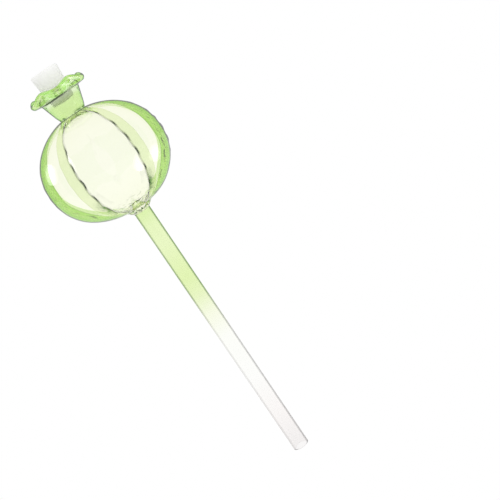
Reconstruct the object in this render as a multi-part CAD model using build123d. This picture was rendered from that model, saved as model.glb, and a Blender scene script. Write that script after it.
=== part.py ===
from build123d import *
import math
import os

# A glass watering globe, in millimetres, +Z up.
# The origin is the centre of the stem's open tip, and the stopper is at the top.

# Stem: a drawn glass tube, open at its tip
stem_length = 161.5
stem_diameter = 9.4
stem_wall = 1.1
tip_round = 0.4

# Globe: a blown bulb, pressed in along upright grooves
lobe_count = 6
globe_radius = 37.2         # at the crest of a lobe
globe_half_height = 30.0
globe_fullness = 2.15       # 2 is an ellipse, more is squarer at the shoulders
groove_depth = 2.2          # of the outer groove, at the widest place
lobe_wall = 1.7
groove_wall = 3.4           # the glass gathers behind a pressed groove
groove_fade = 8             # how late the grooves run out towards the necks
globe_sections = 15

# Collar: the gathered glass between the stem and the globe
collar_radius = 8.0
collar_height = 3.0
collar_wall = 2.2

# Mouth: a flared funnel of thick glass, whose cupped lip was ruffled while hot
neck_radius = 7.8
neck_wall = 3.2
funnel_radius = 11.3
funnel_wall = 4.4           # at the funnel's top
funnel_height = 11.3
lip_wall = 2.0
lip_radius = 16.0
lip_rise = 4.0              # of the rim's middle line above the funnel
lip_waves = 5
wave_height = 1.15          # each way, once per wave
wave_spread = 0.6           # a low place of the rim reaches further out
saddle_height = 0.8         # the rim sags at both sides and stands up at front and back
lip_start = 12              # degrees above level, where the lip leaves the funnel
lip_end = 65                # degrees above level, at the rim
corner_pull = 0.5           # of the lip's reach that still runs as it left the funnel
rim_pull = 0.4              # of the lip's reach that already runs with the rim
lip_sections = 25           # round one half of the lip

# Stopper: a moulded silicone plug
stopper_top_radius = 7.9
stopper_shoulder_radius = 6.5
stopper_stand = 15.2        # of its top above the funnel
stopper_edge = 0.8
seat_clearance = 0.15       # sideways, between the plug's cone and the funnel
seat_height = 8.6           # of the plug's foot above the neck

stem_radius = stem_diameter / 2
stem_bore = stem_radius - stem_wall
neck_bore = neck_radius - neck_wall
funnel_bore = funnel_radius - funnel_wall
collar_bore = collar_radius - collar_wall
collar_top = stem_length + collar_height
lobe_step = 360 / lobe_count


def rise(radius, around, half_height):
    """Height above its middle at which a bulb has this radius."""
    return half_height * (1 - (radius / around) ** globe_fullness) ** (1 / globe_fullness)


globe_middle = collar_top + rise(collar_radius, globe_radius, globe_half_height)
neck_height = globe_middle + rise(neck_radius, globe_radius, globe_half_height)
funnel_top = neck_height + funnel_height


def around_axis(radius, angle, height):
    """A point at this angle from the front, which is -Y, towards +X."""
    turn = math.radians(angle)
    return Vector(radius * math.sin(turn), -radius * math.cos(turn), height)


def lobed_outline(height, crest, crease):
    """One level of the globe: an arc for each lobe, from crease to crease."""
    arcs = []
    for lobe in range(lobe_count):
        middle = lobe * lobe_step
        start = around_axis(crease, middle - lobe_step / 2, height)
        end = around_axis(crease, middle + lobe_step / 2, height)
        arcs.append(ThreePointArc(start, around_axis(crest, middle, height), end))
    return Wire(arcs)


def lobed_bulb(radius, half_height, foot_radius, head_radius, depth):
    """A closed bulb whose grooves run out into round ends of the given radii."""
    power = 2 / globe_fullness
    foot = -math.acos((foot_radius / radius) ** (1 / power))
    head = math.acos((head_radius / radius) ** (1 / power))
    outlines = []
    for level in range(globe_sections):
        angle = foot + (head - foot) * level / (globe_sections - 1)
        end = foot if angle < 0 else head
        kept = 1 - abs(angle / end) ** groove_fade
        crest = radius * math.cos(angle) ** power
        crease = crest - depth * kept * math.sqrt(math.cos(angle))
        height = globe_middle + half_height * math.copysign(abs(math.sin(angle)) ** power, angle)
        outlines.append(lobed_outline(height, crest, crease))
    return Solid.make_loft(outlines)


def ring_profile(points):
    """A solid of revolution about Z through (radius, height) points."""
    face = make_face(Polyline(*points, close=True))
    return revolve(Plane.XZ * face, Axis.Z)


def make_stem():
    tube = ring_profile([
        (stem_bore, 0),
        (stem_radius, 0),
        (stem_radius, stem_length),
        (stem_bore, stem_length),
    ])
    rims = tube.edges().filter_by(GeomType.CIRCLE).group_by(Axis.Z)[0]
    return fillet(rims, tip_round)


def make_globe():
    cavity_radius = globe_radius - lobe_wall
    cavity_half_height = globe_half_height - lobe_wall
    inner_depth = groove_depth + groove_wall - lobe_wall
    skin = lobed_bulb(globe_radius, globe_half_height, collar_radius, neck_radius, groove_depth)
    cavity = lobed_bulb(cavity_radius, cavity_half_height, collar_bore, neck_bore, inner_depth)
    cavity_foot = globe_middle - rise(collar_bore, cavity_radius, cavity_half_height)
    cavity_head = globe_middle + rise(neck_bore, cavity_radius, cavity_half_height)
    collar = ring_profile([
        (0, stem_length),
        (stem_radius, stem_length),
        (collar_radius, collar_top),
        (0, collar_top),
    ])
    foot_bore = ring_profile([
        (0, stem_length),
        (stem_bore, stem_length),
        (collar_bore, cavity_foot),
        (0, cavity_foot),
    ])
    head_bore = ring_profile([
        (0, cavity_head),
        (neck_bore, cavity_head),
        (neck_bore, neck_height),
        (0, neck_height),
    ])
    return skin + collar - cavity - foot_bore - head_bore


def heading(degrees):
    """A unit vector outwards, this far above level."""
    turn = math.radians(degrees)
    return Vector(math.cos(turn), math.sin(turn))


def lip_outline(angle):
    """The mouth's wall in an upright plane at this angle from the front."""
    turn = math.radians(angle)
    wave = -math.cos(lip_waves * turn)
    half = lip_wall / 2
    rim_radius = lip_radius - wave_spread * wave
    rim_height = funnel_top + lip_rise + wave_height * wave + saddle_height * math.cos(2 * turn)
    rim = Vector(rim_radius - half, rim_height)
    crease = Vector(funnel_radius, funnel_top)
    root = Vector(funnel_bore, funnel_top)
    up = Vector(funnel_bore - neck_bore, funnel_height).normalized()
    out = heading(lip_end)
    side = Vector(out.Y, -out.X) * half
    reach = (rim - crease).length
    lean = reach * corner_pull
    flare = out * reach * rim_pull
    outer = [crease, crease + heading(lip_start) * lean, rim + side - flare, rim + side]
    inner = [rim - side, rim - side - flare, root + up * lean, root]
    edges = [
        Line((neck_bore, neck_height), (neck_radius, neck_height)),
        Line((neck_radius, neck_height), crease),
        Bezier(*outer),
        ThreePointArc(rim + side, rim + out * half, rim - side),
        Bezier(*inner),
        Line(root, (neck_bore, neck_height)),
    ]
    radial = around_axis(1, angle, 0)
    return Plane((0, 0, 0), x_dir=radial, z_dir=radial.cross(Vector(0, 0, 1))) * Wire(edges)


def make_mouth():
    step = 180 / (lip_sections - 1)
    half = Solid.make_loft([lip_outline(step * k) for k in range(lip_sections)])
    return half + mirror(half, about=Plane.YZ)


def make_stopper():
    top = funnel_top + stopper_stand
    foot = neck_height + seat_height
    slope = (funnel_bore - neck_bore) / funnel_height
    foot_radius = neck_bore + slope * seat_height - seat_clearance
    shoulder = foot + (stopper_shoulder_radius - foot_radius) / slope
    plug = ring_profile([
        (0, foot),
        (foot_radius, foot),
        (stopper_shoulder_radius, shoulder),
        (stopper_top_radius, top),
        (0, top),
    ])
    rim = plug.edges().filter_by(GeomType.CIRCLE).group_by(Axis.Z)[-1]
    return fillet(rim, stopper_edge)


parts = {
    "stem": make_stem(),
    "globe": make_globe(),
    "mouth": make_mouth(),
    "stopper": make_stopper(),
}
os.makedirs("parts", exist_ok=True)
for name, part in parts.items():
    export_step(part, f"parts/{name}.step")
    print(name, f"{part.volume:.1f} mm3", part.is_valid)
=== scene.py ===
import bpy
import math
from mathutils import Matrix, Vector


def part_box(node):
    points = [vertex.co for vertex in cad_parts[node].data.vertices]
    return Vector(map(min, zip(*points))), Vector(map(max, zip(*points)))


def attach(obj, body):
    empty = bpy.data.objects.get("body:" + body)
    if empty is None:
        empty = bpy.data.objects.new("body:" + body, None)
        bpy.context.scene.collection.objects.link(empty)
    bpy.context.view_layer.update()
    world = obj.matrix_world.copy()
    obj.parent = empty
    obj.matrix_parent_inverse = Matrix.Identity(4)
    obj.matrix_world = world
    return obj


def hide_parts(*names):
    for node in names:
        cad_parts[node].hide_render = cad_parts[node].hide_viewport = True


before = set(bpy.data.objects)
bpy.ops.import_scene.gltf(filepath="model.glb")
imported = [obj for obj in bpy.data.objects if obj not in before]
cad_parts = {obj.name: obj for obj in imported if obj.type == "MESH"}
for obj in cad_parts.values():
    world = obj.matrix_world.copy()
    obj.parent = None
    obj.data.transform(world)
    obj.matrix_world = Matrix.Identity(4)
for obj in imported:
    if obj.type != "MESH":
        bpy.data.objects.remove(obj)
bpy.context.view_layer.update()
print("frame loaded:", sorted(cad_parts))

mm = 0.001
degree = math.pi / 180
cornerAngle = 40 * degree              # a sharper bend of a piece stays a corner
seamGap = 0.001 * mm                   # points this close are one
stemLow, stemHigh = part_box("stem")
globeLow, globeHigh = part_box("globe")
mouthLow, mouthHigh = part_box("mouth")
stopperLow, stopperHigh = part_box("stopper")


# node helpers, for geometry trees and shader trees alike

def feed(tree, socket, value):
    if isinstance(value, bpy.types.NodeSocket):
        tree.links.new(value, socket)
    else:
        socket.default_value = value


def sums(tree, operation, *values):
    node = tree.nodes.new("ShaderNodeMath")
    node.operation = operation
    for socket, value in zip(node.inputs, values):
        feed(tree, socket, value)
    return node.outputs[0]


class Formula:
    # lets a socket be written in plain sums, one math node for each sign
    def __init__(self, tree, socket):
        self.tree = tree
        self.socket = socket

    def with_(self, operation, *others):
        values = [o.socket if isinstance(o, Formula) else o for o in others]
        return Formula(self.tree, sums(self.tree, operation, self.socket, *values))

    def __add__(self, other):
        return self.with_("ADD", other)

    def __sub__(self, other):
        return self.with_("SUBTRACT", other)

    def __mul__(self, other):
        return self.with_("MULTIPLY", other)

    def __truediv__(self, other):
        return self.with_("DIVIDE", other)

    def __pow__(self, other):
        return self.with_("POWER", other)

    def __rsub__(self, other):
        return Formula(self.tree, sums(self.tree, "SUBTRACT", other, self.socket))

    def sin(self):
        return self.with_("SINE")

    def cos(self):
        return self.with_("COSINE")

    def size(self):
        return self.with_("ABSOLUTE")

    def floor(self):
        return self.with_("FLOOR")

    def over(self, limit):
        return self.with_("GREATER_THAN", limit)

    def ramp(self, low, high):
        # 0 below low, 1 above high, smooth between
        node = self.tree.nodes.new("ShaderNodeMapRange")
        node.interpolation_type = "SMOOTHSTEP"
        for name, value in (("Value", self), ("From Min", low), ("From Max", high)):
            given = value.socket if isinstance(value, Formula) else value
            feed(self.tree, node.inputs[name], given)
        return Formula(self.tree, node.outputs["Result"])


class Turned:
    # a tree that turns a closed profile about Z: x is a point's radius, z its height,
    # and y, in millimetres, how far the point follows the bends of its piece
    def __init__(self, name, sizes):
        sizes = dict(sizes, rows=2)                       # the profile's points and one more
        self.tree = tree = bpy.data.node_groups.new(name, "GeometryNodeTree")
        self.socket("Profile", "NodeSocketGeometry")
        for key, value in sizes.items():
            kind = "NodeSocketInt" if isinstance(value, int) else "NodeSocketFloat"
            self.socket(key, kind).default_value = value
        self.socket("Material", "NodeSocketMaterial")
        tree.interface.new_socket("Mesh", in_out="OUTPUT", socket_type="NodeSocketGeometry")
        self.given = tree.nodes.new("NodeGroupInput")
        self.value = {key: Formula(tree, self.given.outputs[key]) for key in sizes}
        self.grid = tree.nodes.new("GeometryNodeMeshGrid")
        for side, count in (("X", "columns"), ("Y", "rows")):
            self.grid.inputs["Size " + side].default_value = 1
            feed(tree, self.grid.inputs["Vertices " + side], self.given.outputs[count])
        place = tree.nodes.new("GeometryNodeInputPosition").outputs[0]
        flat = self.split(place)
        self.around = flat["X"] + 0.5                     # 0 to 1 about the axis
        last = self.value["rows"] - 1
        self.row = ((flat["Y"] + 0.5) * last + 0.5).floor()
        sample = tree.nodes.new("GeometryNodeSampleIndex")
        sample.data_type = "FLOAT_VECTOR"
        sample.domain = "POINT"
        tree.links.new(self.given.outputs["Profile"], sample.inputs["Geometry"])
        tree.links.new(place, sample.inputs["Value"])
        tree.links.new(self.row.with_("MODULO", last).socket, sample.inputs["Index"])
        point = self.split(sample.outputs["Value"])
        self.radius = point["X"]
        self.height = point["Z"]
        self.bend = point["Y"] / mm

    def socket(self, name, kind):
        return self.tree.interface.new_socket(name, in_out="INPUT", socket_type=kind)

    def split(self, vector):
        node = self.tree.nodes.new("ShaderNodeSeparateXYZ")
        self.tree.links.new(vector, node.inputs[0])
        return {axis: Formula(self.tree, node.outputs[axis]) for axis in "XYZ"}

    def point(self, radius, angle, height, shift=0.0):
        # angle 0 is the front, -Y, and grows towards +X, where the shift goes
        join = self.tree.nodes.new("ShaderNodeCombineXYZ")
        self.tree.links.new((radius * angle.sin() + shift).socket, join.inputs["X"])
        self.tree.links.new((radius * angle.cos() * -1).socket, join.inputs["Y"])
        self.tree.links.new(height.socket, join.inputs["Z"])
        return join.outputs[0]

    def uneven(self, where, scale, seed):
        # slow unevenness of hand-worked glass, about half each way of nought
        noise = self.tree.nodes.new("ShaderNodeTexNoise")
        noise.noise_dimensions = "4D"
        noise.inputs["Scale"].default_value = scale
        noise.inputs["Detail"].default_value = 1.0
        noise.inputs["W"].default_value = seed
        self.tree.links.new(where, noise.inputs["Vector"])
        return Formula(self.tree, noise.outputs["Fac"]) - 0.5

    def close(self, position, marks):
        # sets the points, closes the seam and keeps the marks for the material
        tree = self.tree
        chain = self.grid.outputs["Mesh"]
        for name, formula in marks.items():
            keep = tree.nodes.new("GeometryNodeStoreNamedAttribute")
            keep.data_type = "FLOAT"
            keep.domain = "POINT"
            keep.inputs["Name"].default_value = name
            tree.links.new(formula.socket, keep.inputs["Value"])
            tree.links.new(chain, keep.inputs["Geometry"])
            chain = keep.outputs["Geometry"]
        move = tree.nodes.new("GeometryNodeSetPosition")
        tree.links.new(position, move.inputs["Position"])
        weld = tree.nodes.new("GeometryNodeMergeByDistance")
        weld.inputs["Distance"].default_value = seamGap
        smooth = tree.nodes.new("GeometryNodeSetShadeSmooth")
        bent = tree.nodes.new("GeometryNodeInputMeshEdgeAngle")
        corner = Formula(tree, bent.outputs["Unsigned Angle"]).over(cornerAngle)
        sharp = tree.nodes.new("GeometryNodeSetShadeSmooth")
        sharp.domain = "EDGE"
        sharp.inputs["Shade Smooth"].default_value = False
        tree.links.new(corner.socket, sharp.inputs["Selection"])
        real = tree.nodes.new("GeometryNodeRealizeInstances")
        paint = tree.nodes.new("GeometryNodeSetMaterial")
        tree.links.new(self.given.outputs["Material"], paint.inputs["Material"])
        for node in (move, weld, smooth, sharp, real, paint):
            tree.links.new(chain, node.inputs["Geometry"])
            chain = node.outputs["Geometry"]
        out = tree.nodes.new("NodeGroupOutput")
        tree.links.new(chain, out.inputs["Mesh"])
        return tree


def profileLoop(name, points):
    # a closed outline in the XZ plane, from points (radius, height) or (radius, height, bend)
    mesh = bpy.data.meshes.new(name)
    mesh.from_pydata([(r, sum(bend) * mm, z) for r, z, *bend in points], [], [])
    piece = bpy.data.objects.new(name, mesh)
    bpy.context.scene.collection.objects.link(piece)
    return piece


def turnedPiece(name, outline, tree, sizes, material):
    # runs the tree on the profile and keeps the result as a plain mesh
    source = profileLoop(name + "Profile", outline)
    modifier = source.modifiers.new(name, "NODES")
    modifier.node_group = tree
    values = dict(sizes, rows=len(outline) + 1, Material=material)
    for item in tree.interface.items_tree:
        if item.in_out == "INPUT" and item.name in values:
            modifier[item.identifier] = values[item.name]
    seen = source.evaluated_get(bpy.context.evaluated_depsgraph_get())
    mesh = bpy.data.meshes.new_from_object(seen)
    mesh.name = name
    source.modifiers.remove(modifier)
    bpy.data.objects.remove(source)
    piece = bpy.data.objects.new(name, mesh)
    bpy.context.scene.collection.objects.link(piece)
    print(name, len(mesh.polygons), "faces")
    return piece


def arcPoints(middle, radius, fromDegrees, toDegrees, count):
    # points on a round arc about (radius, height)
    points = []
    for step in range(count):
        turn = (fromDegrees + (toDegrees - fromDegrees) * step / (count - 1)) * degree
        points.append((middle[0] + radius * math.cos(turn), middle[1] + radius * math.sin(turn)))
    return points


def linePoints(a, b, count):
    # from a towards b, which is left out
    return [tuple(p + (q - p) * step / count for p, q in zip(a, b)) for step in range(count)]


def bezierPoints(a, b, c, d, count):
    points = []
    for step in range(count):
        t = step / (count - 1)
        s = 1 - t
        weights = (s ** 3, 3 * s * s * t, 3 * s * t * t, t ** 3)
        pulls = list(zip(weights, (a, b, c, d)))
        points.append(tuple(sum(w * p[k] for w, p in pulls) for k in range(len(a))))
    return points


# materials

def nodeMaterial(name):
    material = bpy.data.materials.new(name)
    material.use_nodes = True
    tree = material.node_tree
    return material, tree, tree.nodes["Principled BSDF"]


def colourRamp(tree, factor, stops):
    node = tree.nodes.new("ShaderNodeValToRGB")
    while len(node.color_ramp.elements) < len(stops):
        node.color_ramp.elements.new(0.5)
    for element, (place, colour) in zip(node.color_ramp.elements, stops):
        element.position = place
        element.color = (*colour, 1)
    feed(tree, node.inputs["Fac"], factor)
    return node.outputs["Color"]


def attribute(tree, name):
    node = tree.nodes.new("ShaderNodeAttribute")
    node.attribute_name = name
    return Formula(tree, node.outputs["Fac"])


def mixColour(tree, factor, first, second, blend="MIX"):
    node = tree.nodes.new("ShaderNodeMix")
    node.data_type = "RGBA"
    node.blend_type = blend
    feed(tree, node.inputs[0], factor.socket)
    for socket, colour in ((node.inputs[6], first), (node.inputs[7], second)):
        feed(tree, socket, (*colour, 1) if isinstance(colour, tuple) else colour)
    return node.outputs[2]


def facing(tree, low, high):
    # 0 where the surface is seen straight on, 1 along its outline
    weight = tree.nodes.new("ShaderNodeLayerWeight")
    weight.inputs["Blend"].default_value = 0.5
    return Formula(tree, weight.outputs["Facing"]).ramp(low, high)


def clearGlass(shader, ior):
    shader.inputs["Roughness"].default_value = 0.0
    shader.inputs["IOR"].default_value = ior
    shader.inputs["Transmission Weight"].default_value = 1.0


greenGlassLook = {
    "passes": (0.93, 0.995, 0.16),     # of red, green and blue
    "density": 62.0,
    "clear": (1.0, 1.0, 1.0),
    "tints": {                         # where the skin carries these marks
        "gathered": (0.672, 0.862, 0.385),       # the mouth's thicker glass
        "paleBand": (0.728, 0.856, 0.49),
        "deepBand": (0.38, 0.69, 0.15),
        # painted shade: dark patches where the grooves end at the necks, in the collar's folds and
        # at the mouth's foot
        "shadePatch": (0.04, 0.12, 0.02),
        # painted shade: dark lines in the grooves, along the strips' edges and at the mouth's
        # crease and neck
        "line": (0.001, 0.004, 0.0005),
    },
    "bandBlur": 0.012,                 # of a strip's edge, in radians about the globe
    "deepBorder": 0.45,                # of the painted shade line along a strip's edge
    "paleBorder": 0.15,
    "rim": (0.80, 0.90, 0.70),         # where the wall is seen edge on
    "rimFacing": (0.5, 1.0),
    "edge": (0.002, 0.004, 0.001),     # painted shade along the outline
    "edgeFacing": (0.75, 0.83),
    "ior": 1.5,
}
mouthGlassLook = dict(
    greenGlassLook,
    density=26.0,
    passes=(0.80, 0.99, 0.62),
    rim=(0.48, 0.73, 0.38),
    rimFacing=(0.3, 0.8),
    edgeFacing=(0.58, 0.78),
)


def greenGlass(name, look):
    material, tree, shader = nodeMaterial(name)
    clearGlass(shader, look["ior"])
    side = tree.nodes.new("ShaderNodeNewGeometry")
    fromOutside = 1 - Formula(tree, side.outputs["Backfacing"])
    blur = look["bandBlur"]
    deep = attribute(tree, "deepBand")                    # how far inside the strip, in radians
    pale = attribute(tree, "paleBand")
    # painted shade: a dark line along each strip's edge
    borders = deep.ramp(0.0, blur) * (1 - deep.ramp(blur, 2 * blur)) * look["deepBorder"]
    borders = borders + pale.ramp(0.0, blur) * (1 - pale.ramp(blur, 2 * blur)) * look["paleBorder"]
    shares = {
        "gathered": attribute(tree, "gathered"),
        "paleBand": pale.ramp(0.0, blur) * fromOutside,
        "deepBand": deep.ramp(0.0, blur),
        "shadePatch": attribute(tree, "shadePatch"),
        "line": attribute(tree, "line").with_("MAXIMUM", borders) * fromOutside,
    }
    tint = look["clear"]
    for mark, share in shares.items():
        tint = mixColour(tree, share, tint, look["tints"][mark])
    skin = attribute(tree, "skin") * fromOutside
    tint = mixColour(tree, facing(tree, *look["rimFacing"]) * skin, tint, look["rim"], "MULTIPLY")
    # painted shade: the outline darkened where the skin is seen edge on
    edge = facing(tree, *look["edgeFacing"]) * skin
    tint = mixColour(tree, edge, tint, look["edge"], "MULTIPLY")
    tree.links.new(tint, shader.inputs["Base Color"])
    absorb = tree.nodes.new("ShaderNodeVolumeAbsorption")
    absorb.inputs["Color"].default_value = (*look["passes"], 1)
    absorb.inputs["Density"].default_value = look["density"]
    tree.links.new(absorb.outputs[0], tree.nodes["Material Output"].inputs["Volume"])
    return material


stemGlassLook = {
    "stops": [                         # height and colour, from the tip up
        (4 * mm, (0.893, 0.869, 0.861)),
        (24 * mm, (0.960, 0.931, 0.918)),
        (50 * mm, (0.990, 0.990, 0.970)),
        (78 * mm, (0.990, 0.996, 0.951)),
        (94 * mm, (0.937, 0.972, 0.783)),
        (106 * mm, (0.810, 0.922, 0.540)),
        (118 * mm, (0.757, 0.906, 0.442)),
        (140 * mm, (0.823, 0.941, 0.548)),
        (152 * mm, (0.810, 0.937, 0.533)),
        (161 * mm, (0.723, 0.903, 0.423)),
    ],
    "edgeShadeStops": [                     # painted shade along the tube's edges, by height
        (80 * mm, (0.28, 0.28, 0.28)),
        (110 * mm, (0.05, 0.14, 0.01)),
    ],
    "edgeFacing": (0.32, 0.55),
    "leftShadeShare": (0.45, 0.9),           # of the painted edge shade at the left against the right one, where clear and where green
    "ior": 1.48,
}


def stemGlass(look):
    material, tree, shader = nodeMaterial("stemGlass")
    clearGlass(shader, look["ior"])
    coordinates = tree.nodes.new("ShaderNodeTexCoord")
    split = tree.nodes.new("ShaderNodeSeparateXYZ")
    tree.links.new(coordinates.outputs["Object"], split.inputs[0])
    share = Formula(tree, split.outputs["Z"]) / stemHigh.z
    body, rims = [
        colourRamp(tree, share.socket, [(z / stemHigh.z, colour) for z, colour in look[stops]])
        for stops in ("stops", "edgeShadeStops")
    ]
    side = tree.nodes.new("ShaderNodeNewGeometry")
    skin = attribute(tree, "skin")
    atTip, atHead = look["leftShadeShare"]
    inGreen = share.ramp(*(z / stemHigh.z for z, colour in look["edgeShadeStops"]))
    left = inGreen * (atHead - atTip) + atTip
    # painted shade: the tube's right edge darker than its left, as if lit from the left
    strength = attribute(tree, "shadedSide") * (1 - left) + left
    edge = facing(tree, *look["edgeFacing"]) * skin * strength
    edge = edge * (1 - Formula(tree, side.outputs["Backfacing"]))
    tint = mixColour(tree, skin, (1.0, 1.0, 1.0), body)
    tint = mixColour(tree, edge, tint, rims, "MULTIPLY")
    tree.links.new(tint, shader.inputs["Base Color"])
    return material


siliconeLook = {
    "colour": (0.985, 0.975, 0.86),
    "cloud": 0.98,                     # its darkest places, as a share of the colour
    "cloudScale": 120.0,
    "cloudSpread": (0.35, 0.65),
    "roughness": 0.42,
    "grainScale": 900.0,
    "grainDepth": 0.2 * mm,
    "grainStrength": 0.04,
    "subsurface": 1.0,
    "subsurfaceDepth": 25 * mm,
    "ior": 1.41,
}


def silicone(look):
    material, tree, shader = nodeMaterial("silicone")
    coordinates = tree.nodes.new("ShaderNodeTexCoord")

    def noise(scale):
        node = tree.nodes.new("ShaderNodeTexNoise")
        node.inputs["Scale"].default_value = scale
        tree.links.new(coordinates.outputs["Object"], node.inputs["Vector"])
        return node.outputs["Fac"]

    low = tuple(c * look["cloud"] for c in look["colour"])
    stops = list(zip(look["cloudSpread"], (low, look["colour"])))
    cloud = colourRamp(tree, noise(look["cloudScale"]), stops)
    tree.links.new(cloud, shader.inputs["Base Color"])
    bump = tree.nodes.new("ShaderNodeBump")
    bump.inputs["Strength"].default_value = look["grainStrength"]
    bump.inputs["Distance"].default_value = look["grainDepth"]
    tree.links.new(noise(look["grainScale"]), bump.inputs["Height"])
    tree.links.new(bump.outputs[0], shader.inputs["Normal"])
    shader.inputs["Roughness"].default_value = look["roughness"]
    shader.inputs["Subsurface Weight"].default_value = look["subsurface"]
    shader.inputs["Subsurface Scale"].default_value = look["subsurfaceDepth"]
    shader.inputs["Subsurface Radius"].default_value = (1, 1, 1)
    shader.inputs["IOR"].default_value = look["ior"]
    return material


# the globe: a blown bulb with six pressed grooves

stemLean = 1.25 * mm                   # of the stem's top to the right, where it was welded on
globeSizes = {
    "columns": 241,
    "lobes": 6,
    "gather": 0.7,                     # more columns near a groove
    "narrow": 3.4 * degree,            # the front and back lobes are a little narrower
    "grooveDepth": 2.2 * mm,
    "wander": 0.7 * mm,                # of a groove from side to side
    "dent": 0.4 * mm,
    "dentLength": 9.0 * mm,
    "scallop": 0.5 * mm,               # along the side grooves, most at the lower right
    "scallopLength": 6.5 * mm,
    "lineWidth": 1.8 * degree,
    "paleEnd": 12.3 * degree,          # of the pale strip beside a front or back groove
    "paleLean": -3.1 * degree,         # narrower at the front than at the back
    "deepEnd": 30.0 * degree,          # of the deep green strip about a side groove
    "deepLean": 10.5 * degree,         # wider at the front than at the back
    "deepFoot": 12.0 * degree,         # wider towards the globe's foot
    "crinkle": 1.1 * mm,               # of the gathered collar
}
globeForm = {
    "wall": 1.5 * mm,
    "weldGap": 0.03 * mm,
    "collarRadius": 8.0 * mm,
    "collarBore": 5.8 * mm,
    "collarHeight": 3.0 * mm,
    "stemBore": 3.6 * mm,
    "neckBore": 4.6 * mm,
    "neckRadius": 7.5 * mm,
    "halfHeight": 30.0 * mm,
    "fullness": 2.15,                  # 2 is an ellipse
    "skinSteps": 190,                  # points along each stretch of the outline
    "liningSteps": 120,
    "collarSteps": 14,
    "drainSteps": 8,
}
globeWork = {                          # where a mark or a working of the glass begins and ends
    "grooveFade": 10.0,                # how late the grooves run out towards the necks
    "front": (-0.2, 0.3),              # cosine about the axis, from the back half to the front
    "beatStep": 2.4,                   # radians from one groove's dents to the next one's
    "beatNoise": (130.0, 2.0),         # scale and seed of an unevenness, here and below
    "beatUneven": 2.0,
    "dentSharpness": 24.0,             # how close to its groove a dent stays
    "slipSharpness": 3.0,
    "slipEase": 4 * mm,                # added to the radius, so that the necks don't twist
    "beadNoise": (60.0, 9.0),
    "beadUneven": 8.0,                 # radians
    "beadSides": (5 * degree, 16 * degree),     # of the scallops, from a side groove
    "beadRise": (-0.1, 0.5),           # they weaken upwards
    "beadLoss": 0.6,
    "beadSize": 0.7,                   # of their full size, as a mean of both sides
    "beadRight": 0.3,                  # more at the right and less at the left
    "swell": 0.3 * mm,                 # slow unevenness of the whole bulb
    "swellNoise": (45.0, 3.0),
    "collar": (3.5 * mm, 7.0 * mm),
    "crumpleNoise": (420.0, 6.0),
    "tuck": (0.2 * mm, 1.5 * mm),
    "leanHeight": 14 * mm,             # over which the foot follows the leaning stem
    "lineCore": 0.3,                   # of a crease line's width; the line is painted shade
    "dash": (0.25, 0.75),
    "dashShare": 0.5,
    "deepRise": (-0.9, -0.1),
    # painted shade where the front grooves end near the necks, and in the collar's folds
    "shadeFoot": (-0.85, -0.75),
    "shadeEnd": (-0.58, -0.38),
    "shadeHead": (0.86, 0.95),
    "shadeSides": (2 * degree, 9 * degree),
    "shadeBack": 0.2,                 # what is left of the painted shade at the back
    "shadeSpots": (0.38, 0.60),
    "shadeSpotShare": 0.5,
    "collarShade": (0.52, 0.62),
    "collarShare": 0.9,
    "skinFoot": 0.1 * mm,              # the welded face below it carries no marks
    "tuckedSkin": 0.7,                 # of the rim's tint that the collar loses
}


def bulbPoints(middle, radii, fullness, fromRadius, toRadius, count):
    # up a bulb's outline between two radii, one below and one above its middle
    power = 2 / fullness
    low = -math.acos((fromRadius / radii[0]) ** (1 / power))
    high = math.acos((toRadius / radii[0]) ** (1 / power))
    points = []
    for step in range(count):
        turn = low + (high - low) * step / (count - 1)
        rise = math.copysign(abs(math.sin(turn)) ** power, turn)
        points.append((radii[0] * math.cos(turn) ** power, middle + radii[1] * rise))
    return points


def globeOutline(form):
    crest = (globeHigh.y - globeLow.y) / 2
    foot = globeLow.z + form["weldGap"]
    head = globeHigh.z - form["weldGap"]
    full = form["fullness"]
    outer = (crest, form["halfHeight"])
    inner = (crest - form["wall"], form["halfHeight"] - form["wall"])
    middle = globeLow.z + form["collarHeight"]
    middle += outer[1] * (1 - (form["collarRadius"] / outer[0]) ** full) ** (1 / full)
    ends = (form["collarRadius"], form["neckRadius"])
    skin = bulbPoints(middle, outer, full, *ends, form["skinSteps"])
    ends = (form["collarBore"], form["neckBore"])
    lining = bulbPoints(middle, inner, full, *ends, form["liningSteps"])
    points = linePoints(((stemHigh.x - stemLow.x) / 2, foot), skin[0], form["collarSteps"])
    points += skin[:-1] + [(form["neckRadius"], head), (form["neckBore"], head)]
    drain = (form["stemBore"], foot)
    points += lining[:0:-1] + linePoints(lining[0], drain, form["drainSteps"]) + [drain]
    return points, middle, outer, inner


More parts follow.
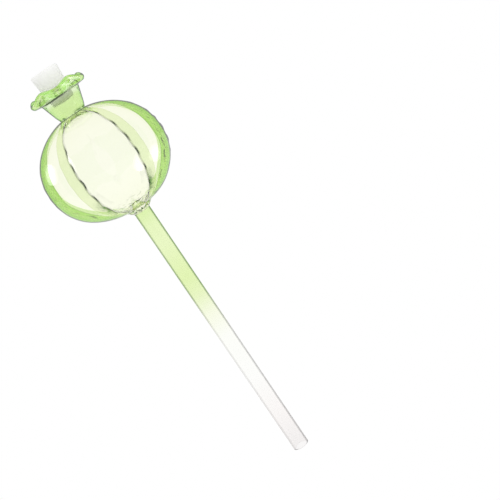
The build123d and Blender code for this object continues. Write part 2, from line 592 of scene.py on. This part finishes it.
def globeTree(sizes, form, work, middle, outer, inner):
    ring = Turned("lobedGlobe", sizes)
    value, radius, height = ring.value, ring.radius, ring.height
    turn = ring.around * value["lobes"]
    share = turn - turn.floor()                           # 0.5 is on a groove
    bent = share + (share * math.tau).sin() * value["gather"] / math.tau
    step = math.tau / sizes["lobes"]
    away = (bent - 0.5).size() * step                     # angle from the groove
    near = 1 - away / (step / 2)                          # 1 on the groove, 0 on a crest
    even = (turn.floor() + bent) * step
    onSide = even.sin().size().over(math.sin(step))       # nearest to a groove at the sides
    inSideLobe = 1 - (even * 2.0).cos().over(math.cos(step))
    rise = (height - middle) / outer[1]
    fade = (1 - (rise.size() ** work["grooveFade"])).ramp(0.0, 1.0)
    full = form["fullness"]
    between = ((outer[0] + inner[0]) / 2, (outer[1] + inner[1]) / 2)
    spread = ((radius / between[0]) ** full) + (((height - middle) / between[1]).size() ** full)
    outside = spread.over(1.0)
    front = even.cos().ramp(*work["front"])
    fromSide = even.cos().size().with_("ARCSINE")         # angle from a groove at the sides
    angle = even - (even * 2.0).sin() * value["narrow"]
    spot = ring.point(radius, angle, height)
    sharp = front * (1 - onSide)                          # the two creases at the front
    phase = height * math.tau / value["dentLength"] + turn.floor() * work["beatStep"]
    beat = phase.sin() * 0.5 + ring.uneven(spot, *work["beatNoise"]) * work["beatUneven"]
    dent = (near ** work["dentSharpness"]) * value["dent"] * (beat * 0.5 + 0.5) * sharp
    phase = height * math.tau / value["scallopLength"]
    phase = phase + ring.uneven(spot, *work["beadNoise"]) * work["beadUneven"]
    weaker = rise.ramp(*work["beadRise"]) * work["beadLoss"]
    ripple = phase.sin() * value["scallop"] * (1 - weaker)
    ripple = ripple * (1 - fromSide.ramp(*work["beadSides"]))
    ripple = ripple * (even.sin() * work["beadRight"] + work["beadSize"])
    soft = (near * (math.pi / 2)).sin() ** 2.0
    groove = soft + ((near ** 2.0) - soft) * sharp
    pressed = (groove * value["grooveDepth"] + dent * outside + ripple) * fade
    slip = (near ** work["slipSharpness"]) * value["wander"] * beat
    slip = slip / (radius + work["slipEase"]) * fade * front
    aboveFoot = height - globeLow.z
    collar = 1 - aboveFoot.ramp(*work["collar"])
    crumple = ring.uneven(spot, *work["crumpleNoise"])
    tucked = collar * aboveFoot.ramp(*work["tuck"])
    swell = ring.uneven(spot, *work["swellNoise"]) * work["swell"]
    lastRadius = radius - pressed + swell * fade + crumple * value["crinkle"] * tucked
    shift = (1 - aboveFoot.ramp(0.0, work["leanHeight"])) * stemLean
    position = ring.point(lastRadius, angle + slip, height, shift)
    # painted shade: a dashed dark line along each groove
    dash = (beat * 0.5 + 0.5).ramp(*work["dash"]) * work["dashShare"] + (1 - work["dashShare"])
    line = (1 - away.ramp(value["lineWidth"] * work["lineCore"], value["lineWidth"])) * dash
    besidePale = inSideLobe * (1 - onSide)
    paleBand = (value["paleEnd"] + value["paleLean"] * even.cos() - away) * besidePale
    low = 1 - rise.ramp(*work["deepRise"])
    deepBand = value["deepEnd"] + value["deepLean"] * even.cos()
    deepBand = deepBand + low * value["deepFoot"] - fromSide
    # painted shade: dark patches at the grooves' ends and in the collar's folds, broken up by
    # noise
    ends = (1 - rise.ramp(*work["shadeEnd"])) * rise.ramp(*work["shadeFoot"])
    ends = ends + rise.ramp(*work["shadeHead"])
    shadeSpots = (crumple + 0.5).ramp(*work["shadeSpots"]) * work["shadeSpotShare"] + (1 - work["shadeSpotShare"])
    frontShare = front * (1 - work["shadeBack"]) + work["shadeBack"]
    atEnds = (1 - away.ramp(*work["shadeSides"])) * ends * besidePale * frontShare
    collarShade = (crumple + 0.5).ramp(*work["collarShade"]) * work["collarShare"]
    shadePatch = atEnds * shadeSpots + tucked * collarShade
    skin = outside * aboveFoot.over(work["skinFoot"])
    marks = {
        "line": line * fade,
        "shadePatch": shadePatch,
        "paleBand": paleBand * fade,
        "deepBand": deepBand * fade,
    }
    marks = {name: mark * skin for name, mark in marks.items()}
    return ring.close(position, dict(marks, skin=skin * (1 - tucked * work["tuckedSkin"])))


# the mouth: a funnel whose cupped lip was ruffled while hot

mouthSizes = {
    "columns": 241,
    "waves": 5,
    "waveHeight": 1.15 * mm,
    "waveSpread": 0.6 * mm,
    "saddle": 0.8 * mm,
    "uneven": 0.5 * mm,
}
mouthForm = {
    "neckRadius": 7.8 * mm,
    "neckBore": 4.6 * mm,
    "notch": 0.3 * mm,                 # pinched in above the globe
    "notchHeight": 3.0 * mm,
    "notchPull": (0.2, 0.4),           # how long the curve keeps its first and last heading
    "funnelRadius": 11.3 * mm,
    "funnelBore": 6.9 * mm,
    "funnelHeight": 11.3 * mm,
    "lipWall": 2.0 * mm,
    "lipRadius": 16.0 * mm,
    "lipRise": 4.0 * mm,
    "lipStart": 12.0,                  # degrees above level, where the lip leaves the funnel
    "lipEnd": 65.0,
    "cornerPull": 0.5,
    "rimPull": 0.4,
    "weldGap": 0.03 * mm,
    "notchSteps": 12,                  # points along each stretch of the outline
    "funnelSteps": 32,
    "lipSteps": 30,
    "rimSteps": 20,
    "boreSteps": 20,
}
mouthWork = {
    "lipNoise": (90.0, 8.0),           # scale and seed, as for the globe
    "creaseWidth": (0.45 * mm, 1.1 * mm),
    "creaseTurn": 22 * degree,         # the crease's painted shade line is darkest left of the front
    "creaseFront": (0.6, 0.95),
    "creaseBack": 0.2,
    "neckLine": (0.2 * mm, 0.9 * mm),
    "neckSides": (0.75, 0.97),
    "neckShare": 0.8,
    # painted shade at the mouth's foot, where it sits on the globe
    "footShade": (0.4 * mm, 1.8 * mm),
    "shadeNoise": (300.0, 4.0),
    "shadeSpots": (0.42, 0.58),
    "paler": (7.5 * mm, 10.5 * mm),    # below the lip
    "palerShare": 0.5,
}


def heading(degrees, length):
    return Vector((math.cos(degrees * degree), math.sin(degrees * degree), 0)) * length


def mouthOutline(form):
    foot = mouthLow.z + form["weldGap"]
    top = mouthLow.z + form["funnelHeight"]
    half = form["lipWall"] / 2
    crease = Vector((form["funnelRadius"], top, 0))
    root = Vector((form["funnelBore"], top, 0))
    neck = Vector((form["neckRadius"], foot, 0))
    throat = Vector((form["neckBore"], foot, 0))
    pinch = neck - Vector((form["notch"], 0, 0))
    flank = neck.lerp(crease, form["notchHeight"] / form["funnelHeight"])
    rim = Vector((form["lipRadius"] - half, top + form["lipRise"], 1))
    side = heading(form["lipEnd"] - 90, half)
    reach = (rim - crease).xy.length
    flare = heading(form["lipEnd"], reach * form["rimPull"])
    start = heading(form["lipStart"], reach * form["cornerPull"])
    up = (root - throat).normalized() * reach * form["cornerPull"]
    first, last = form["notchPull"]
    pulls = (pinch, pinch.lerp(flank, first), flank.lerp(neck, last), flank)
    points = bezierPoints(*pulls, form["notchSteps"])
    points += linePoints(flank, crease, form["funnelSteps"])[1:]
    pulls = (crease, crease + start, rim + side - flare, rim + side)
    points += bezierPoints(*pulls, form["lipSteps"])
    turned = arcPoints(rim, half, form["lipEnd"] - 90, form["lipEnd"] + 90, form["rimSteps"])
    points += [(r, z, 1) for r, z in turned[1:]]
    rimEnd = len(points)
    pulls = (rim - side, rim - side - flare, root + up, root)
    points += bezierPoints(*pulls, form["lipSteps"])[1:-1]
    points += linePoints(root, throat, form["boreSteps"]) + [tuple(throat)]
    return points, rimEnd


def mouthTree(sizes, form, work, rimEnd):
    ring = Turned("ruffledMouth", sizes)
    value, radius, height, lip = ring.value, ring.radius, ring.height, ring.bend
    angle = ring.around * math.tau
    wave = (angle * value["waves"]).cos() * -1
    lift = wave * value["waveHeight"] + (angle * 2.0).cos() * value["saddle"]
    spot = ring.point(radius, angle, height)
    uneven = ring.uneven(spot, *work["lipNoise"]) * value["uneven"]
    lastRadius = radius + (uneven - wave * value["waveSpread"]) * lip
    position = ring.point(lastRadius, angle, height + (lift + uneven) * lip)
    above = height - mouthLow.z
    # painted shade: a dark line along the lip's crease, and along the neck's foot at the sides
    fromCrease = (above - form["funnelHeight"]).size() + (radius - form["funnelRadius"]).size()
    inFront = (angle + work["creaseTurn"]).cos().ramp(*work["creaseFront"])
    crease = inFront * (1 - work["creaseBack"]) + work["creaseBack"]
    line = (1 - fromCrease.ramp(*work["creaseWidth"])) * crease
    atSides = angle.sin().size().ramp(*work["neckSides"]) * work["neckShare"]
    line = line + (1 - above.ramp(*work["neckLine"])) * atSides
    # painted shade: dark blotches at the mouth's foot
    atFoot = 1 - above.ramp(*work["footShade"])
    shadePatch = atFoot * (ring.uneven(spot, *work["shadeNoise"]) + 0.5).ramp(*work["shadeSpots"])
    skin = 1 - ring.row.over(rimEnd)
    paler = above.ramp(*work["paler"]) * (1 - lip) * work["palerShare"]
    marks = {"gathered": 1 - paler, "line": line, "shadePatch": shadePatch}
    marks = {name: mark * skin for name, mark in marks.items()}
    return ring.close(position, dict(marks, skin=skin))


# the stem: a drawn tube with a fire-rounded tip

stemSizes = {"columns": 65, "uneven": 0.03 * mm}
stemForm = {
    "bore": 3.6 * mm,
    "tipRound": 0.45 * mm,
    "weldGap": 0.03 * mm,
    "tipSteps": 8,                     # points along each stretch of the outline
    "skinSteps": 120,
    "boreSteps": 60,
    "noise": (40.0, 5.0),              # scale and seed, as for the globe
}


def stemOutline(form):
    radius = (stemHigh.x - stemLow.x) / 2
    head = stemHigh.z - form["weldGap"]
    edge = form["tipRound"]
    points = arcPoints((form["bore"] + edge, edge), edge, 180, 270, form["tipSteps"])
    points += arcPoints((radius - edge, edge), edge, 270, 360, form["tipSteps"])
    points += linePoints(points[-1], (radius, head), form["skinSteps"])[1:] + [(radius, head)]
    return points + linePoints((form["bore"], head), points[0], form["boreSteps"])


def stemTree(sizes, form):
    ring = Turned("drawnStem", sizes)
    angle = ring.around * math.tau
    spot = ring.point(ring.radius, angle, ring.height)
    uneven = ring.uneven(spot, *form["noise"]) * ring.value["uneven"]
    shift = ring.height / stemHigh.z * stemLean
    wallMiddle = ((stemHigh.x - stemLow.x) / 2 + form["bore"]) / 2
    # the side mark is 1 on the right, where the painted edge shade is full
    marks = {"skin": ring.radius.over(wallMiddle), "shadedSide": angle.sin() * 0.5 + 0.5}
    return ring.close(ring.point(ring.radius + uneven, angle, ring.height, shift), marks)


# the stopper: a moulded silicone plug with soft edges

stopperSizes = {"columns": 97, "parting": 0.06 * mm, "partingWidth": 0.03}
stopperForm = {
    "footRadius": 6.2 * mm,
    "footEdge": 0.4 * mm,
    "shoulderRadius": 6.5 * mm,
    "shoulderRise": 1.47 * mm,
    "topRadius": 7.9 * mm,
    "edge": 0.8 * mm,
    "draft": 0.06,                     # of the edge, by which the top leans in
    "dish": 0.25 * mm,
    "dishEdge": (0.75, 0.65),          # of the top's radius, where the dish begins and is full
    "axis": 0.01 * mm,                 # of the open point at the middle of each end
    "footSteps": 6,                    # points along each stretch of the outline
    "sideSteps": 30,
    "edgeSteps": 9,
    "partingRise": (3 * mm, 6 * mm),   # above the foot, where the parting line begins
    "partingSide": (5 * mm, 6 * mm),   # from the axis, so that the top has none
}


def stopperOutline(form):
    foot = stopperLow.z
    top = stopperHigh.z
    edge = form["edge"]
    turned = form["footEdge"]
    lean = edge * form["draft"]
    points = [(form["axis"], foot)]
    footMiddle = (form["footRadius"] - turned, foot + turned)
    points += arcPoints(footMiddle, turned, 270, 340, form["footSteps"])
    topMiddle = (form["topRadius"] - edge - lean, top - edge)
    rounded = arcPoints(topMiddle, edge, 0, 90, form["edgeSteps"])
    shoulder = (form["shoulderRadius"], foot + form["shoulderRise"])
    points += linePoints(shoulder, rounded[0], form["sideSteps"]) + rounded
    begins, full = (form["topRadius"] * share for share in form["dishEdge"])
    points += [(begins, top), (full, top - form["dish"])]
    return points + [(form["axis"], top - form["dish"])]


def stopperTree(sizes, form):
    ring = Turned("siliconePlug", sizes)
    angle = ring.around * math.tau
    seam = 1 - angle.cos().size().ramp(0.0, ring.value["partingWidth"])
    onSide = ring.radius.ramp(*form["partingSide"])
    onSide = onSide * (ring.height - stopperLow.z).ramp(*form["partingRise"])
    lastRadius = ring.radius + seam * onSide * ring.value["parting"]
    return ring.close(ring.point(lastRadius, angle, ring.height), {})


green = greenGlass("greenGlass", greenGlassLook)
mouthGreen = greenGlass("mouthGlass", mouthGlassLook)
stemLook = stemGlass(stemGlassLook)
white = silicone(siliconeLook)

outline, *bulb = globeOutline(globeForm)
tree = globeTree(globeSizes, globeForm, globeWork, *bulb)
globe = turnedPiece("glassGlobe", outline, tree, globeSizes, green)
outline, rimEnd = mouthOutline(mouthForm)
tree = mouthTree(mouthSizes, mouthForm, mouthWork, rimEnd)
mouth = turnedPiece("glassMouth", outline, tree, mouthSizes, mouthGreen)
outline = stemOutline(stemForm)
tree = stemTree(stemSizes, stemForm)
stem = turnedPiece("glassStem", outline, tree, stemSizes, stemLook)
outline = stopperOutline(stopperForm)
tree = stopperTree(stopperSizes, stopperForm)
stopper = turnedPiece("siliconeStopper", outline, tree, stopperSizes, white)

for piece, node, body, slot in (
    (globe, "globe", "glass", "green_glass"),
    (mouth, "mouth", "glass", "green_glass"),
    (stem, "stem", "glass", "stem_glass"),
    (stopper, "stopper", "stopper", "silicone"),
):
    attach(piece, body)
    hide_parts(node)
print("pieces ride on their bodies")


# floor, light and camera

studio = {
    "floorDrop": 0.45,
    "floorSize": 8.0,
    "floorColour": (0.90, 0.90, 0.90),
    "floorRoughness": 0.9,
    "ambient": 0.93,
    "mirrored": 0.5,                   # the room, as the glass mirrors it
    "bounces": 40,                     # light runs far inside the thick glass
    "glassBounces": 32,
}
lamps = {
    "key": {                           # close to the glass, for the soft light at the upper left
        "place": (-0.108, -0.004, 0.244),
        "target": (-0.028, -0.022, 0.205),
        "size": (0.10, 0.06),
        "power": 0.0068,
        "spread": 44 * degree,
        "mirrored": True,
    },
    "glint": {                         # the same at the lower right
        "place": (0.098, -0.043, 0.138),
        "target": (0.025, -0.027, 0.188),
        "size": (0.10, 0.06),
        "power": 0.0042,
        "spread": 40 * degree,
        "mirrored": True,
    },
    "fill": {
        "place": (0.6, -0.8, 0.7),
        "target": (0, 0, 0.19),
        "size": (0.8, 0.8),
        "power": 2,
        "spread": 180 * degree,
        "mirrored": False,
    },
}


def rayKind(tree, *names):
    # 1 for rays of any of these kinds
    path = tree.nodes.new("ShaderNodeLightPath")
    kind = Formula(tree, path.outputs[f"Is {names[0]} Ray"])
    for name in names[1:]:
        kind = kind.with_("MAXIMUM", path.outputs[f"Is {name} Ray"])
    return kind


def makeFloor(form):
    bpy.ops.mesh.primitive_plane_add(size=form["floorSize"], location=(0, 0, -form["floorDrop"]))
    floor = bpy.context.active_object
    floor.name = "floor"
    material, tree, shader = nodeMaterial("paleFloor")
    shader.inputs["Base Color"].default_value = (*form["floorColour"], 1)
    shader.inputs["Roughness"].default_value = form["floorRoughness"]
    glow = tree.nodes.new("ShaderNodeEmission")
    mix = tree.nodes.new("ShaderNodeMixShader")
    tree.links.new(rayKind(tree, "Camera", "Transmission").socket, mix.inputs[0])
    tree.links.new(shader.outputs[0], mix.inputs[1])
    tree.links.new(glow.outputs[0], mix.inputs[2])
    tree.links.new(mix.outputs[0], tree.nodes["Material Output"].inputs["Surface"])
    floor.data.materials.append(material)


def makeWorld(form):
    world = bpy.data.worlds.new("studio")
    bpy.context.scene.world = world
    world.use_nodes = True
    tree = world.node_tree
    back = tree.nodes["Background"]
    seen = rayKind(tree, "Camera", "Transmission")
    glossy = rayKind(tree, "Glossy")
    unseen = glossy * form["mirrored"] + (1 - glossy) * form["ambient"]
    back.inputs["Color"].default_value = (1, 1, 1, 1)
    tree.links.new((seen + (1 - seen) * unseen).socket, back.inputs["Strength"])


def areaLamp(name, form):
    # a mirrored lamp shows as a highlight only, the others light what isn't glossy
    lamp = bpy.data.lights.new(name, "AREA")
    lamp.shape = "ELLIPSE"
    lamp.size, lamp.size_y = form["size"]
    lamp.energy = form["power"]
    lamp.spread = form["spread"]
    holder = bpy.data.objects.new(name, lamp)
    holder.location = form["place"]
    aim = Vector(form["target"]) - Vector(form["place"])
    holder.rotation_euler = aim.to_track_quat("-Z", "Y").to_euler()
    holder.visible_glossy = form["mirrored"]
    holder.visible_camera = False
    holder.visible_transmission = False
    holder.visible_diffuse = not form["mirrored"]
    bpy.context.scene.collection.objects.link(holder)


photoCamera = {
    "distance": 0.55,
    "elevation": 12.0,
    "turn": -3.97,                     # puts the camera square in front of a lobe
    "tilt": 33.81,                     # of the stem, its top to the left
    "aimHeight": 110.6 * mm,
    "aimSide": 37.4 * mm,
    "frameWidth": 272.8 * mm,          # what the picture spans at that distance
    "sensor": 36.0,                    # millimetres, as the lens
    "clipStart": 0.01,
}


def makeCamera(form):
    camera = bpy.data.cameras.new("photoCamera")
    camera.sensor_width = form["sensor"]
    camera.lens = form["sensor"] * form["distance"] / form["frameWidth"]
    camera.clip_start = form["clipStart"]
    holder = bpy.data.objects.new("photoCamera", camera)
    bpy.context.scene.collection.objects.link(holder)
    rise = form["elevation"] * degree
    tilt = form["tilt"] * degree
    toViewer = Vector((0, -math.cos(rise), math.sin(rise)))
    right = Vector((1, 0, 0))
    up = Vector((0, math.sin(rise), math.cos(rise)))
    turnedRight = right * math.cos(tilt) - up * math.sin(tilt)
    turnedUp = right * math.sin(tilt) + up * math.cos(tilt)
    aim = Vector((form["aimSide"], 0, form["aimHeight"]))
    place = aim + toViewer * form["distance"]
    axes = Matrix((turnedRight, turnedUp, toViewer)).transposed().to_4x4()
    about = Matrix.Rotation(form["turn"] * degree, 4, "Z")
    holder.matrix_world = about @ Matrix.Translation(place) @ axes
    bpy.context.scene.camera = holder


makeFloor(studio)
makeWorld(studio)
makeCamera(photoCamera)
for name, form in lamps.items():
    areaLamp(name, form)
scene = bpy.context.scene
scene.view_settings.view_transform = "Standard"
scene.cycles.max_bounces = studio["bounces"]
scene.cycles.glossy_bounces = studio["glassBounces"]
scene.cycles.transmission_bounces = studio["glassBounces"]
print("studio ready")
